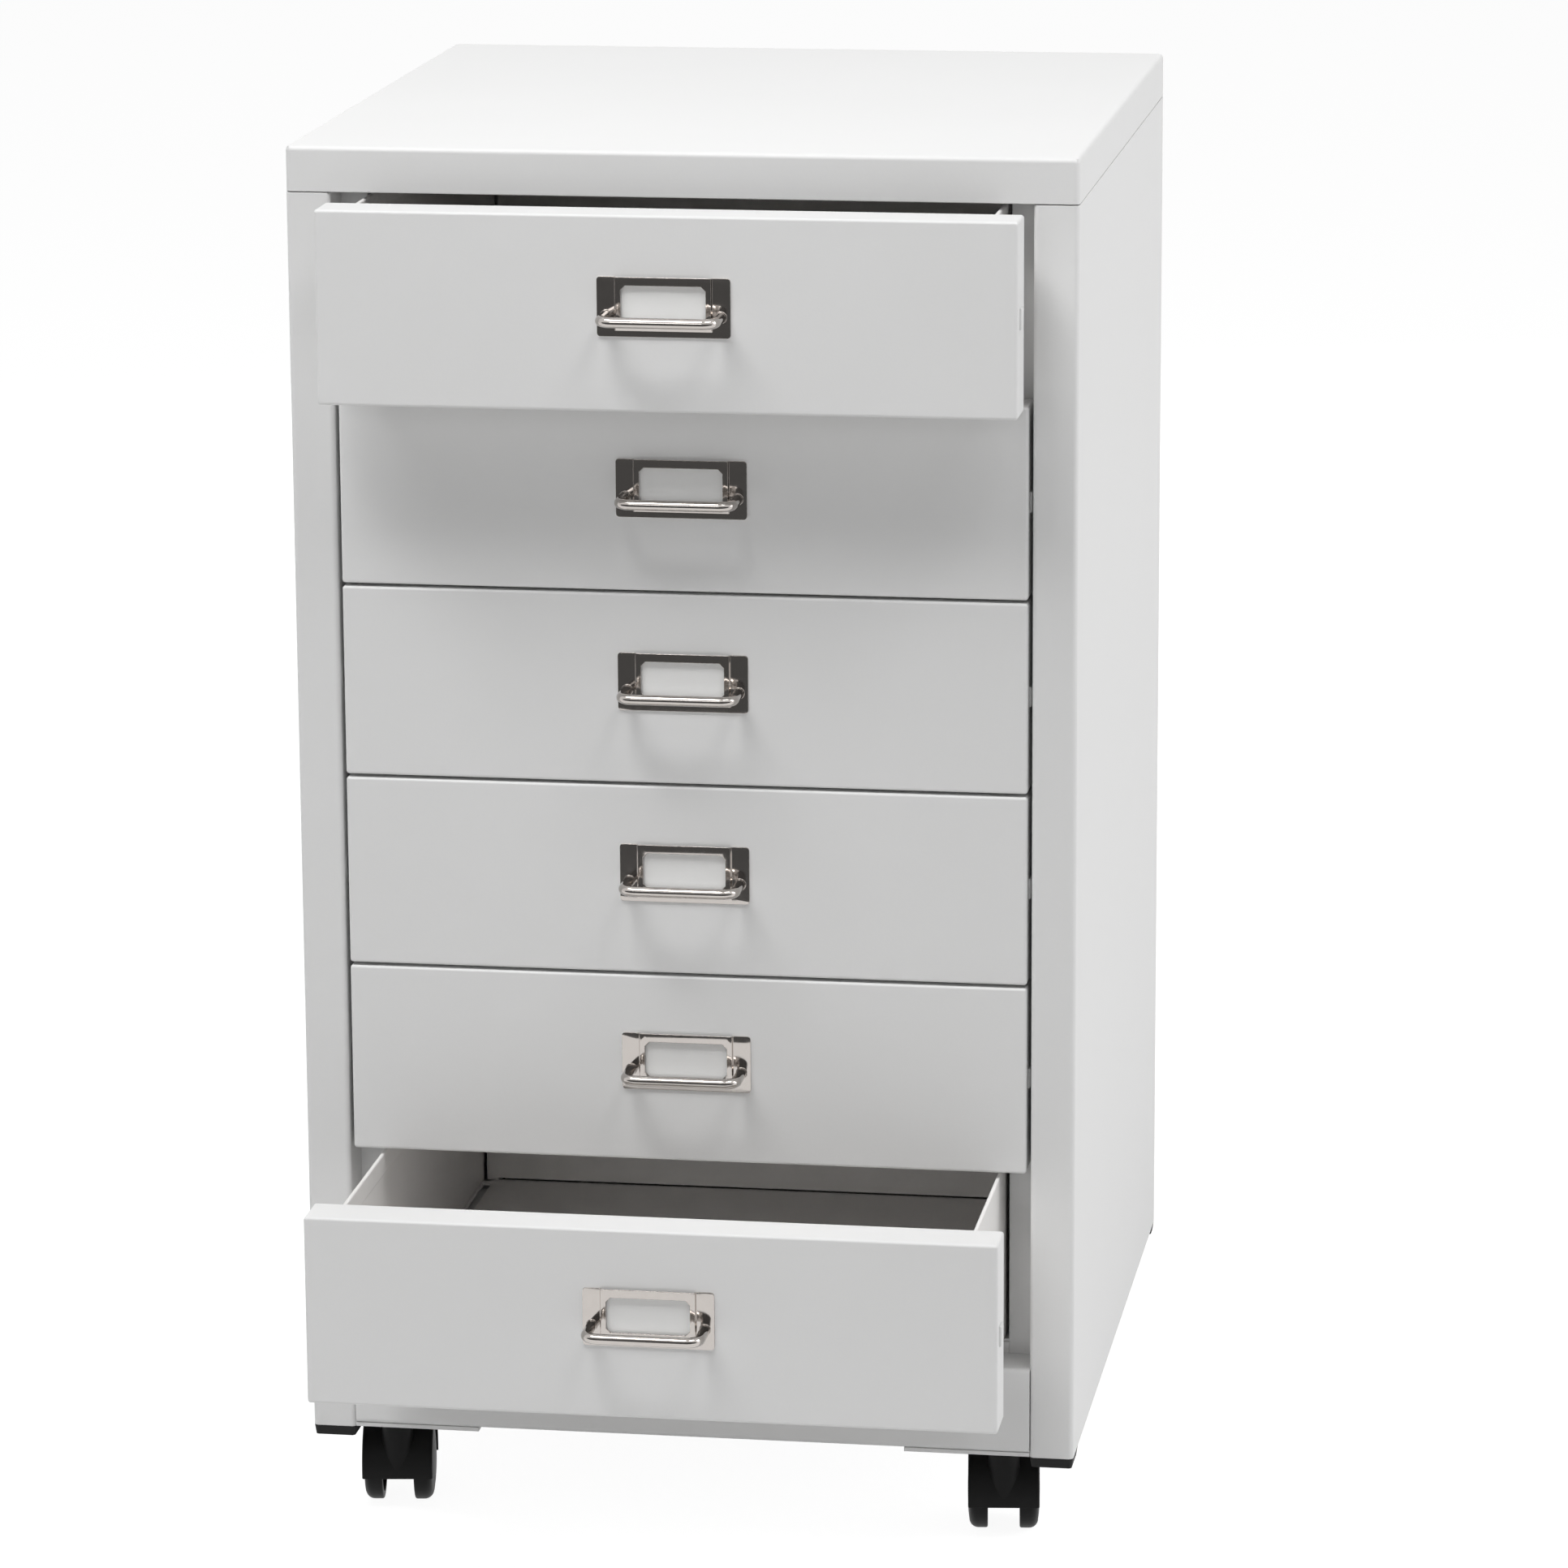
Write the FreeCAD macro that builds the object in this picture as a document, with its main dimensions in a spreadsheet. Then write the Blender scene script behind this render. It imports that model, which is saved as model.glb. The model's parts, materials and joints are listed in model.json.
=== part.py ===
import FreeCAD, Part
# Mobile pedestal: a steel cabinet with six drawers on four twin-wheel swivel casters.
# Millimetres, +Z up. The drawer fronts face -Y. The origin is on the floor, under the middle of
# the object as it stands, with its top and bottom drawers pulled part of the way out.
import math
import os
from types import SimpleNamespace

import Sketcher

Vector = FreeCAD.Vector
DRAWERS = 6
SIDES = {"left": -1, "right": 1}
# The face of a drawer front is rounded a little less than its corners, so that the two blend
FACE_ROUND_SHARE = 0.9
# The least lengths and volumes that count as different
SAME_PLACE = 0.01
LEAST_CUT = 1e-6

# Driving dimensions, in millimetres or degrees
SIZES = {
    # cabinet shell of folded sheet steel
    "Width": 380,
    "Depth": 400,
    "BodyHeight": 640,
    "CasterHeight": 50,
    "PanelSheet": 1,
    "PanelBend": 2.5,
    "LidLip": 22,
    "LidSeam": 0.5,
    "LidCorner": 3,
    "LidReturn": 12,
    "StileWidth": 21.5,
    "FlangeRecess": 24.5,
    "FlangeReach": 13,
    "FlangeFoot": 8,
    "RearRecess": 12,
    "TongueRise": 14,
    "TongueDrop": 12,
    "TongueInset": 30,
    "BackRise": 8,
    "BackLip": 12,
    "RailHeight": 45,
    "RailReturn": 12,
    "RailUpstand": 6,
    "BaseLip": 15,
    "SeamGap": 0.2,
    # caster plates and foot caps under the cabinet
    "BracketWidth": 62,
    "BracketDepth": 72,
    "BracketSheet": 2,
    "FootHeight": 5,
    "FootPlug": 12,
    "FootFit": 0.1,
    "FootTaper": 9,
    # drawer runners
    "RunnerSheet": 1.2,
    "RunnerWeb": 12,
    "RunnerInset": 4.5,
    "RunnerShelf": 8,
    "GlideDiameter": 7,
    "GlideHeight": 1.5,
    "GlideRound": 0.6,
    "GlideSetback": 14,
    "RunGap": 0.3,
    # drawer fronts and trays
    "OpenTop": 44,
    "OpenBottom": 112,
    "Travel": 270,
    "TopGap": 2,
    "FrontGap": 1.6,
    "FootGap": 5,
    "SideGap": 2,
    "FrontDepth": 23,
    "FrontSheet": 1,
    "FrontBend": 1.5,
    "FrontReturn": 16,
    "PipHeight": 10,
    "PipDepth": 8,
    "PipProud": 1.2,
    "PipRound": 1,
    "PipSetback": 6,
    "TraySheet": 1,
    "TrayGap": 2,
    "TrayLift": 4,
    "TrayDrop": 1.2,
    "TrayRear": 40,
    "HemHeight": 10,
    "HemRound": 0.8,
    "CornerGap": 0.8,
    "CornerRelief": 4,
    "FoldSlit": 1,
    "FoldWeb": 6,
    "SlotLength": 52,
    "SlotWidth": 4,
    "SlotInset": 1.5,
    "SlotSetback": 9,
    "StopReach": 5,
    "StopLift": 16,
    "StopHeight": 24,
    "StopGap": 0.5,
    # drawer pull: label plate, bail and card
    "PlateWidth": 63.4,
    "PlateHeight": 28.4,
    "PlateSheet": 0.8,
    "PlateRound": 1.2,
    "PlateRise": 3.5,
    "PocketWidth": 46.4,
    "PocketFoot": 2.9,
    "PocketSlope": 2.3,
    "PocketRaise": 1.4,
    "PocketRound": 0.5,
    "WindowWidth": 40.4,
    "WindowHeight": 17.4,
    "WindowCut": 2.2,
    "WindowRise": 1.5,
    "CardWidth": 42.4,
    "CardHeight": 22,
    "CardSheet": 0.4,
    "RodDiameter": 5,
    "LegSpacing": 54.4,
    "LegDrop": 4.2,
    "BailReach": 21.5,
    "BailBend": 6,
    "TenonFit": 0.1,
    "HeadDiameter": 8,
    "HeadHeight": 1.2,
    # swivel casters
    "StemInset": 37,
    "StemFront": 25,
    "StemRear": 44,
    "StemDiameter": 8,
    "StemFit": 0.05,
    "StemLength": 20,
    "CollarDiameter": 14,
    "CollarHeight": 3,
    "CollarGap": 0.3,
    "RivetDiameter": 12,
    "RivetHeight": 2,
    "RivetRoom": 2,
    "CasterTrail": 15,
    "HeadingFrontLeft": 8,
    "HeadingFrontRight": 7,
    "HeadingRear": 7,
    "WheelDiameter": 40,
    "WheelWidth": 10,
    "WheelGap": 17,
    "TreadRound": 1,
    "ShoulderRound": 4.5,
    "HubDiameter": 14,
    "DomeDrop": 0.8,
    "CapSheet": 1.6,
    "WebGap": 0.5,
    "HoodGap": 1.2,
    "HoodWall": 1.6,
    "HoodRound": 1.2,
    "HoodSweep": 195,
    "BossDiameter": 15.6,
    "BossLift": 2,
    "AxleDiameter": 6,
    "AxleFit": 0.05,
    "AxleBoss": 11,
    "AxleGap": 0.3,
}

doc = FreeCAD.newDocument("MobilePedestal")
nodes = []


class Size:
    """A number that keeps the spreadsheet expression that it comes from."""

    def __init__(self, value, text):
        self.value = value
        self.text = text

    def __add__(self, other):
        other = as_size(other)
        return Size(self.value + other.value, f"({self.text} + {other.text})")

    def __radd__(self, other):
        return as_size(other) + self

    def __sub__(self, other):
        other = as_size(other)
        return Size(self.value - other.value, f"({self.text} - {other.text})")

    def __rsub__(self, other):
        return as_size(other) - self

    def __mul__(self, other):
        other = as_size(other)
        return Size(self.value * other.value, f"({self.text} * {other.text})")

    def __rmul__(self, other):
        return as_size(other) * self

    def __truediv__(self, other):
        other = as_size(other)
        return Size(self.value / other.value, f"({self.text} / {other.text})")

    def __neg__(self):
        return self * -1


def as_size(number):
    return number if isinstance(number, Size) else Size(float(number), f"({float(number)})")


def make_sheet():
    """Writes the driving dimensions to a spreadsheet and returns them as named sizes."""
    sheet = doc.addObject("Spreadsheet::Sheet", "Dim")
    for row, (alias, value) in enumerate(SIZES.items(), start=1):
        sheet.set(f"A{row}", alias)
        sheet.set(f"B{row}", str(value))
        sheet.setAlias(f"B{row}", alias)
    doc.recompute()
    return SimpleNamespace(**{alias: Size(float(sheet.get(alias)), f"Dim.{alias}") for alias in SIZES})


s = make_sheet()

# Positions that several pieces share, measured from the middle of the cabinet's front bottom edge
half_width = s.Width / 2
skin_inside = half_width - s.PanelSheet
stile_edge = half_width - s.StileWidth
flange_edge = stile_edge - s.FlangeReach
flange_back = s.FlangeRecess + s.PanelSheet
rear_face = s.Depth - s.RearRecess
rear_front = rear_face - s.PanelSheet
lid_joint = s.BodyHeight - s.LidLip
front_room = lid_joint - s.TopGap - s.FootGap - s.RailHeight
front_height = (front_room - (DRAWERS - 1) * s.FrontGap) / DRAWERS
front_pitch = front_height + s.FrontGap
front_half = stile_edge - s.SideGap
lowest_front = s.RailHeight + s.FootGap
tray_half = flange_edge - s.TrayGap
tray_inside = tray_half - s.TraySheet
tray_back = s.Depth - s.TrayRear
tray_top = front_height - s.TrayDrop
shelf_top = s.TrayLift - s.RunGap - s.GlideHeight
plate_height = front_height / 2 + s.PlateRise
leg_height = plate_height - s.LegDrop
plate_top = plate_height + s.PlateHeight / 2
pocket_low = plate_height - s.PlateHeight / 2 + s.PocketFoot
stem_side = half_width - s.StemInset
wheel_radius = s.WheelDiameter / 2
wheel_inner = s.WheelGap / 2
wheel_outer = wheel_inner + s.WheelWidth
rim_side = wheel_outer - s.DomeDrop
bore_radius = s.StemDiameter / 2 + s.StemFit
boss_top = s.CasterHeight - s.CollarHeight - s.CollarGap
handle_reach = s.BailReach + s.RodDiameter / 2
front_y = (s.OpenBottom + handle_reach - s.Depth) / 2


# Drawing helpers

def bind(thing, prop, size):
    thing.setExpression(prop, as_size(size).text)


def new_body(name):
    return doc.addObject("PartDesign::Body", name)


def node(name):
    """A body that is written out as a piece of its own."""
    body = new_body(name)
    nodes.append(body)
    return body


def node_group(name, members):
    """One piece made of separate solids."""
    group = doc.addObject("Part::Compound", name)
    group.Links = members
    nodes.append(group)


def place(thing, x, y, z, turn=None):
    thing.Placement = FreeCAD.Placement(Vector(), FreeCAD.Rotation(Vector(0, 0, 1), 1 if turn else 0))
    for axis, size in zip("xyz", (x, y, z)):
        bind(thing, f"Placement.Base.{axis}", size)
    if turn:
        bind(thing, "Placement.Rotation.Angle", turn)


def place_cabinet(body):
    place(body, 0, front_y, s.CasterHeight)


class Drawing:
    """Collects a sketch's geometry and its constraints, which are then added together."""

    def __init__(self, sketch):
        self.sketch = sketch
        self.rules = []

    def add(self, curve, construction=False):
        return self.sketch.addGeometry(curve, construction)

    def join(self, first, first_end, second, second_end):
        self.rules.append((Sketcher.Constraint("Coincident", first, first_end, second, second_end), None))

    def hold(self, curve, end, x, y):
        """Ties one point of a curve to the sketch's origin."""
        for kind, size in (("DistanceX", as_size(x)), ("DistanceY", as_size(y))):
            self.rules.append((Sketcher.Constraint(kind, -1, 1, curve, end, size.value), size))

    def set_radius(self, curve, radius):
        size = as_size(radius)
        self.rules.append((Sketcher.Constraint("Radius", curve, size.value), size))

    def finish(self):
        numbers = self.sketch.addConstraint([rule for rule, _ in self.rules])
        for number, (_, size) in zip(numbers, self.rules):
            if size:
                self.sketch.setExpression(f"Constraints[{number}]", size.text)


def corner_stops(corners):
    """Gives each corner's point, or the two ends and the centre of its bend."""
    spots = [point(corner) for corner in corners]
    stops = []
    for index, corner in enumerate(corners):
        x, y = corner[0], corner[1]
        if len(corner) == 2:
            stops.append(((x, y),))
            continue
        bend = corner[2]
        into = (spots[index] - spots[index - 1]).normalize()
        out = (spots[(index + 1) % len(spots)] - spots[index]).normalize()
        first = (x - bend * round(into.x), y - bend * round(into.y))
        last = (x + bend * round(out.x), y + bend * round(out.y))
        centre = (first[0] + bend * round(out.x), first[1] + bend * round(out.y))
        stops.append((first, last, centre))
    return stops


def point(stop):
    return Vector(as_size(stop[0]).value, as_size(stop[1]).value)


def draw_bend(drawing, stop, corner):
    """Adds the arc of a bent corner and returns it with the numbers of its two ends."""
    first, last, centre = (point(spot) for spot in stop)
    into = first - centre
    out = last - centre
    turns_left = into.cross(out).z > 0
    begin = into if turns_left else out
    angle = math.atan2(begin.y, begin.x)
    circle = Part.Circle(centre, Vector(0, 0, 1), into.Length)
    arc = drawing.add(Part.ArcOfCircle(circle, angle, angle + math.pi / 2))
    drawing.set_radius(arc, corner[2])
    return (arc, 1, 2) if turns_left else (arc, 2, 1)


def draw_outline(drawing, corners, closed=True):
    """Draws straight edges through the corners, with an arc where a corner has a bend radius."""
    stops = corner_stops(corners)
    count = len(stops) if closed else len(stops) - 1
    lines = []
    for index in range(count):
        leave = point(stops[index][min(1, len(stops[index]) - 1)])
        arrive = point(stops[(index + 1) % len(stops)][0])
        lines.append(drawing.add(Part.LineSegment(leave, arrive)))
    if not closed:
        drawing.hold(lines[0], 1, *stops[0][0])
        drawing.hold(lines[-1], 2, *stops[-1][0])
    for index in range(0 if closed else 1, count):
        stop = stops[index]
        before, after = lines[index - 1], lines[index]
        drawing.hold(after, 1, *stop[min(1, len(stop) - 1)])
        if len(stop) == 1:
            drawing.join(before, 2, after, 1)
            continue
        arc, start, end = draw_bend(drawing, stop, corners[index])
        drawing.hold(before, 2, *stop[0])
        drawing.join(before, 2, arc, start)
        drawing.join(arc, end, after, 1)


def draw_ring(drawing, x, y, radius):
    ring = drawing.add(Part.Circle(point((x, y)), Vector(0, 0, 1), as_size(radius).value))
    drawing.hold(ring, 3, x, y)
    drawing.set_radius(ring, radius)


def new_sketch(body, plane, at, loops=(), rings=(), path=None, axis=None):
    """A sketch on one of the body's origin planes, moved along the world axis that it faces."""
    sketch = body.newObject("Sketcher::SketchObject", "Outline")
    support = next(f for f in body.Origin.OriginFeatures if f.Role == plane)
    sketch.AttachmentSupport = [(support, "")]
    sketch.MapMode = "FlatFace"
    bind(sketch, "AttachmentOffset.Base.z", -as_size(at) if plane == "XZ_Plane" else at)
    drawing = Drawing(sketch)
    for loop in loops:
        draw_outline(drawing, loop)
    for ring in rings:
        draw_ring(drawing, *ring)
    if path:
        draw_outline(drawing, path, closed=False)
    if axis:
        line = drawing.add(Part.LineSegment(point(axis[0]), point(axis[1])), construction=True)
        drawing.hold(line, 1, *axis[0])
        drawing.hold(line, 2, *axis[1])
    drawing.finish()
    return sketch


def pad(body, plane, start, end, loops=(), rings=(), taper=None, downward=False):
    """Adds material from start to end. A tapered pad is drawn at the end that it grows from."""
    grows_back = (plane == "XZ_Plane") != downward
    feature = body.newObject("PartDesign::Pad", "Pad")
    feature.Profile = new_sketch(body, plane, end if grows_back else start, loops, rings)
    feature.Reversed = downward
    bind(feature, "Length", as_size(end) - start)
    if taper:
        bind(feature, "TaperAngle", -taper)
    body.Tip = feature
    return feature


def pocket(body, plane, start, end, loops=(), rings=()):
    """Cuts material away from start to end."""
    feature = body.newObject("PartDesign::Pocket", "Pocket")
    feature.Profile = new_sketch(body, plane, start if plane == "XZ_Plane" else end, loops, rings)
    bind(feature, "Length", as_size(end) - start)
    body.Tip = feature


def revolve(body, plane, at, loop, axis, sweep=None):
    """Turns an outline about a line of its sketch, all the way round or evenly to both sides."""
    sketch = new_sketch(body, plane, at, [loop], axis=axis)
    feature = body.newObject("PartDesign::Revolution", "Revolution")
    feature.Profile = sketch
    feature.ReferenceAxis = (sketch, ["Axis0"])
    feature.Angle = 360
    if sweep:
        feature.Midplane = True
        bind(feature, "Angle", sweep)
    body.Tip = feature
    return feature


def round_edges(body, radius, wanted):
    """Rounds the edges whose middle points are wanted."""
    doc.recompute()
    base = body.Tip
    names = [f"Edge{n}" for n, edge in enumerate(base.Shape.Edges, start=1)
             if wanted(edge.CenterOfMass)]
    feature = body.newObject("PartDesign::Fillet", "Bend")
    feature.Base = (base, names)
    bind(feature, "Radius", radius)
    body.Tip = feature


def rectangle(left, low, right, high, bend=None):
    corners = ((left, low), (right, low), (right, high), (left, high))
    return [corner + (bend,) for corner in corners] if bend else list(corners)


def near(number, size):
    return abs(number - as_size(size).value) < SAME_PLACE


# Cabinet

def make_top_panel():
    """The lid: a pan turned over the cabinet, with a return behind its front lip."""
    lid = node("top_panel")
    pad(lid, "XY_Plane", lid_joint, s.BodyHeight,
        [rectangle(-half_width, 0, half_width, s.Depth, s.LidCorner)])
    round_edges(lid, s.PanelBend, lambda middle: near(middle.z, s.BodyHeight))
    pocket(lid, "XY_Plane", lid_joint, s.BodyHeight - s.PanelSheet,
           [rectangle(-skin_inside, s.PanelSheet, skin_inside, s.Depth - s.PanelSheet)])
    pad(lid, "XY_Plane", lid_joint, lid_joint + s.PanelSheet,
        [rectangle(-stile_edge, s.PanelSheet, stile_edge, s.LidReturn)])
    place_cabinet(lid)


def make_side_panel(side, sign):
    """One sheet folded in plan: flange, return, front stile, skin, rear stile, return, flange."""
    panel = node(f"{side}_side_panel")
    return_inside = stile_edge + s.PanelSheet
    plan = [
        (flange_edge, s.FlangeRecess), (stile_edge, s.FlangeRecess),
        (stile_edge, 0, s.PanelBend), (half_width, 0, s.PanelBend),
        (half_width, s.Depth, s.PanelBend), (stile_edge, s.Depth, s.PanelBend),
        (stile_edge, rear_face), (flange_edge, rear_face),
        (flange_edge, rear_front), (return_inside, rear_front),
        (return_inside, s.Depth - s.PanelSheet), (skin_inside, s.Depth - s.PanelSheet),
        (skin_inside, s.PanelSheet), (return_inside, s.PanelSheet),
        (return_inside, flange_back), (flange_edge, flange_back),
    ]
    pad(panel, "XY_Plane", 0, lid_joint - s.LidSeam, [[(sign * c[0],) + c[1:] for c in plan]])
    feet = [rectangle(sign * flange_edge, low - s.PanelSheet, sign * stile_edge, high + s.PanelSheet)
            for low, high in ((s.FlangeRecess, flange_back), (rear_front, rear_face))]
    pocket(panel, "XY_Plane", 0, s.FlangeFoot, feet)
    tongue = rectangle(sign * skin_inside, s.TongueInset,
                       sign * (skin_inside - s.PanelSheet), s.Depth - s.TongueInset)
    pad(panel, "XY_Plane", lid_joint - s.TongueDrop, lid_joint + s.TongueRise, [tongue])
    place_cabinet(panel)


def make_back_panel():
    """A sheet between the rear stiles, behind their flanges, with a lip along its top."""
    panel = node("back_panel")
    top = lid_joint + s.BackRise
    outline = [
        (rear_face, s.BracketSheet), (rear_face + s.PanelSheet, s.BracketSheet),
        (rear_face + s.PanelSheet, top), (rear_face - s.BackLip, top),
        (rear_face - s.BackLip, top - s.PanelSheet), (rear_face, top - s.PanelSheet),
    ]
    pad(panel, "YZ_Plane", -stile_edge, stile_edge, [outline])
    place_cabinet(panel)


def make_front_rail():
    """The folded rail under the bottom drawer: return, face, ledge and a low upstand."""
    rail = node("front_rail")
    low = s.BracketSheet
    sheet = s.PanelSheet
    crest = s.RailHeight + s.RailUpstand
    outline = [
        (0, low, s.PanelBend), (s.RailReturn, low), (s.RailReturn, low + sheet),
        (sheet, low + sheet), (sheet, s.RailHeight - sheet), (flange_back, s.RailHeight - sheet),
        (flange_back, crest), (s.FlangeRecess, crest), (s.FlangeRecess, s.RailHeight),
        (0, s.RailHeight, s.PanelBend),
    ]
    pad(rail, "YZ_Plane", -stile_edge, stile_edge, [outline])
    ends = [rectangle(sign * flange_edge, s.FlangeRecess, sign * stile_edge, flange_back + sheet)
            for sign in SIDES.values()]
    pocket(rail, "XY_Plane", s.RailHeight - 2 * sheet, crest + sheet, ends)
    place_cabinet(rail)


def stem_points():
    """The four caster stems in plan, with the names of their corners."""
    for end, y in (("front", s.StemFront), ("rear", s.Depth - s.StemRear)):
        for side, sign in SIDES.items():
            yield f"{end}_{side}", sign * stem_side, y


def make_base_pan():
    """The cabinet's floor: it lies on the caster plates, with lips against the panels."""
    pan = node("base_pan")
    low = s.BracketSheet
    inner = flange_edge - s.SeamGap
    plan = [
        (-inner, s.RailReturn), (inner, s.RailReturn), (inner, flange_back),
        (skin_inside, flange_back), (skin_inside, rear_front), (inner, rear_front),
        (inner, rear_face), (-inner, rear_face), (-inner, rear_front),
        (-skin_inside, rear_front), (-skin_inside, flange_back), (-inner, flange_back),
    ]
    pad(pan, "XY_Plane", low, low + s.PanelSheet, [plan])
    lips = [rectangle(sign * (skin_inside - s.PanelSheet), flange_back, sign * skin_inside, rear_front)
            for sign in SIDES.values()]
    lips.append(rectangle(-inner, rear_front, inner, rear_face))
    pad(pan, "XY_Plane", low, low + s.BaseLip, lips)
    pocket(pan, "XY_Plane", low, low + s.PanelSheet,
           rings=[(x, y, s.RivetDiameter / 2 + s.RivetRoom) for _, x, y in stem_points()])
    place_cabinet(pan)


def make_caster_brackets():
    """Four plates under the cabinet's corners, notched round the stiles, each with a stem hole."""
    plates = []
    inner = stile_edge - s.BracketWidth
    front = (s.PanelSheet, flange_back, s.BracketDepth, s.StemFront)
    rear = (s.Depth - s.PanelSheet, rear_front, s.Depth - s.BracketDepth, s.Depth - s.StemRear)
    for outer_y, notch_y, inner_y, stem_y in (front, rear):
        for sign in SIDES.values():
            plate = new_body("CasterBracket")
            plan = [(inner, outer_y), (stile_edge, outer_y), (stile_edge, notch_y),
                    (skin_inside, notch_y), (skin_inside, inner_y), (inner, inner_y)]
            pad(plate, "XY_Plane", 0, s.BracketSheet, [[(sign * x, y) for x, y in plan]])
            pocket(plate, "XY_Plane", 0, s.BracketSheet, rings=[(sign * stem_side, stem_y, bore_radius)])
            place_cabinet(plate)
            plates.append(plate)
    node_group("caster_brackets", plates)


def make_caster_stems():
    """Pins that the casters turn on: a collar under the plate and a riveted head above it."""
    stems = []
    top = s.CasterHeight + s.BracketSheet
    outline = [
        (0, boss_top - s.StemLength), (s.StemDiameter / 2, boss_top - s.StemLength),
        (s.StemDiameter / 2, s.CasterHeight - s.CollarHeight),
        (s.CollarDiameter / 2, s.CasterHeight - s.CollarHeight),
        (s.CollarDiameter / 2, s.CasterHeight), (s.StemDiameter / 2, s.CasterHeight),
        (s.StemDiameter / 2, top), (s.RivetDiameter / 2, top),
        (s.RivetDiameter / 2, top + s.RivetHeight), (0, top + s.RivetHeight),
    ]
    for _, x, y in stem_points():
        stem = new_body("CasterStem")
        revolve(stem, "XZ_Plane", 0, outline, ((0, 0), (0, s.CasterHeight)))
        place(stem, x, front_y + y, 0)
        stems.append(stem)
    node_group("caster_stems", stems)


def make_foot_caps():
    """Plastic caps that close the stiles' lower ends, each with a plug inside the fold."""
    caps = []
    fit = s.PanelSheet + s.FootFit
    for low, high in ((0, s.FlangeRecess), (rear_face, s.Depth)):
        for sign in SIDES.values():
            cap = new_body("FootCap")
            plug = rectangle(sign * (stile_edge + fit), low + fit, sign * (half_width - fit), high - fit)
            pad(cap, "XY_Plane", 0, s.FootPlug, [plug])
            pad(cap, "XY_Plane", -s.FootHeight, 0,
                [rectangle(sign * stile_edge, low, sign * half_width, high, s.PanelBend)],
                taper=s.FootTaper, downward=True)
            place_cabinet(cap)
            caps.append(cap)
    node_group("foot_caps", caps)


def repeat_up(body, feature, pitch):
    """Repeats a feature at each drawer, upwards from the lowest."""
    pattern = body.newObject("PartDesign::LinearPattern", "EachDrawer")
    pattern.Originals = [feature]
    pattern.Direction = (feature.Profile[0], ["V_Axis"])
    bind(pattern, "Length", (DRAWERS - 1) * pitch)
    pattern.Occurrences = DRAWERS
    body.Tip = pattern


def make_runner_rails(side, sign):
    """Angle runners between the flanges, with a shelf under each tray's edge."""
    rails = node(f"{side}_runner_rails")
    web_in = flange_edge + s.RunnerInset
    web_out = web_in + s.RunnerSheet
    top = lowest_front + shelf_top
    low = top - s.RunnerSheet
    section = [
        (tray_half - s.RunnerShelf, low), (web_out, low), (web_out, low + s.RunnerWeb),
        (web_in, low + s.RunnerWeb), (web_in, top), (tray_half - s.RunnerShelf, top),
    ]
    rail = pad(rails, "XZ_Plane", flange_back, rear_front, [[(sign * x, z) for x, z in section]])
    repeat_up(rails, rail, front_pitch)
    place_cabinet(rails)


def make_glide_buttons():
    """Nylon buttons on the front of each shelf, which the trays slide on."""
    sides = []
    radius = s.GlideDiameter / 2
    low = lowest_front + shelf_top
    for sign in SIDES.values():
        buttons = new_body("GlideButtons")
        x = sign * (tray_half - s.RunnerShelf / 2)
        outline = [(x, low), (x + radius, low), (x + radius, low + s.GlideHeight, s.GlideRound),
                   (x, low + s.GlideHeight)]
        axis = ((x, low), (x, low + s.GlideHeight))
        button = revolve(buttons, "XZ_Plane", flange_back + s.GlideSetback, outline, axis)
        repeat_up(buttons, button, front_pitch)
        place_cabinet(buttons)
        sides.append(buttons)
    node_group("glide_buttons", sides)


# Drawers: each is drawn from the bottom middle of its own front face

def make_drawer_front(body):
    """A pan with bent edges, a return frame behind, holes for the pull and a rounded pip on each side."""
    pad(body, "XZ_Plane", 0, s.FrontDepth,
        [rectangle(-front_half, 0, front_half, front_height, s.FrontBend)])
    round_edges(body, s.FrontBend * FACE_ROUND_SHARE, lambda middle: near(middle.y, 0))
    wall = s.FrontSheet
    inside = rectangle(-front_half + wall, wall, front_half - wall, front_height - wall)
    pocket(body, "XZ_Plane", wall, s.FrontDepth, [inside])
    edge = wall + s.FrontReturn
    opening = rectangle(-front_half + edge, edge, front_half - edge, front_height - edge)
    pad(body, "XZ_Plane", s.FrontDepth - wall, s.FrontDepth, [inside, opening])
    for sign in SIDES.values():
        start, end = sorted((sign * (front_half - wall / 2), sign * (front_half + s.PipProud)),
                            key=lambda size: size.value)
        low = (front_height - s.PipHeight) / 2
        pad(body, "YZ_Plane", start, end,
            [rectangle(s.PipSetback, low, s.PipSetback + s.PipDepth, low + s.PipHeight)])
    round_edges(body, s.PipRound, lambda middle: near(abs(middle.x), front_half + s.PipProud))
    tenon = s.RodDiameter / 2 + s.TenonFit
    pocket(body, "XZ_Plane", 0, wall,
           rings=[(sign * s.LegSpacing / 2, leg_height, tenon) for sign in SIDES.values()])


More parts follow.
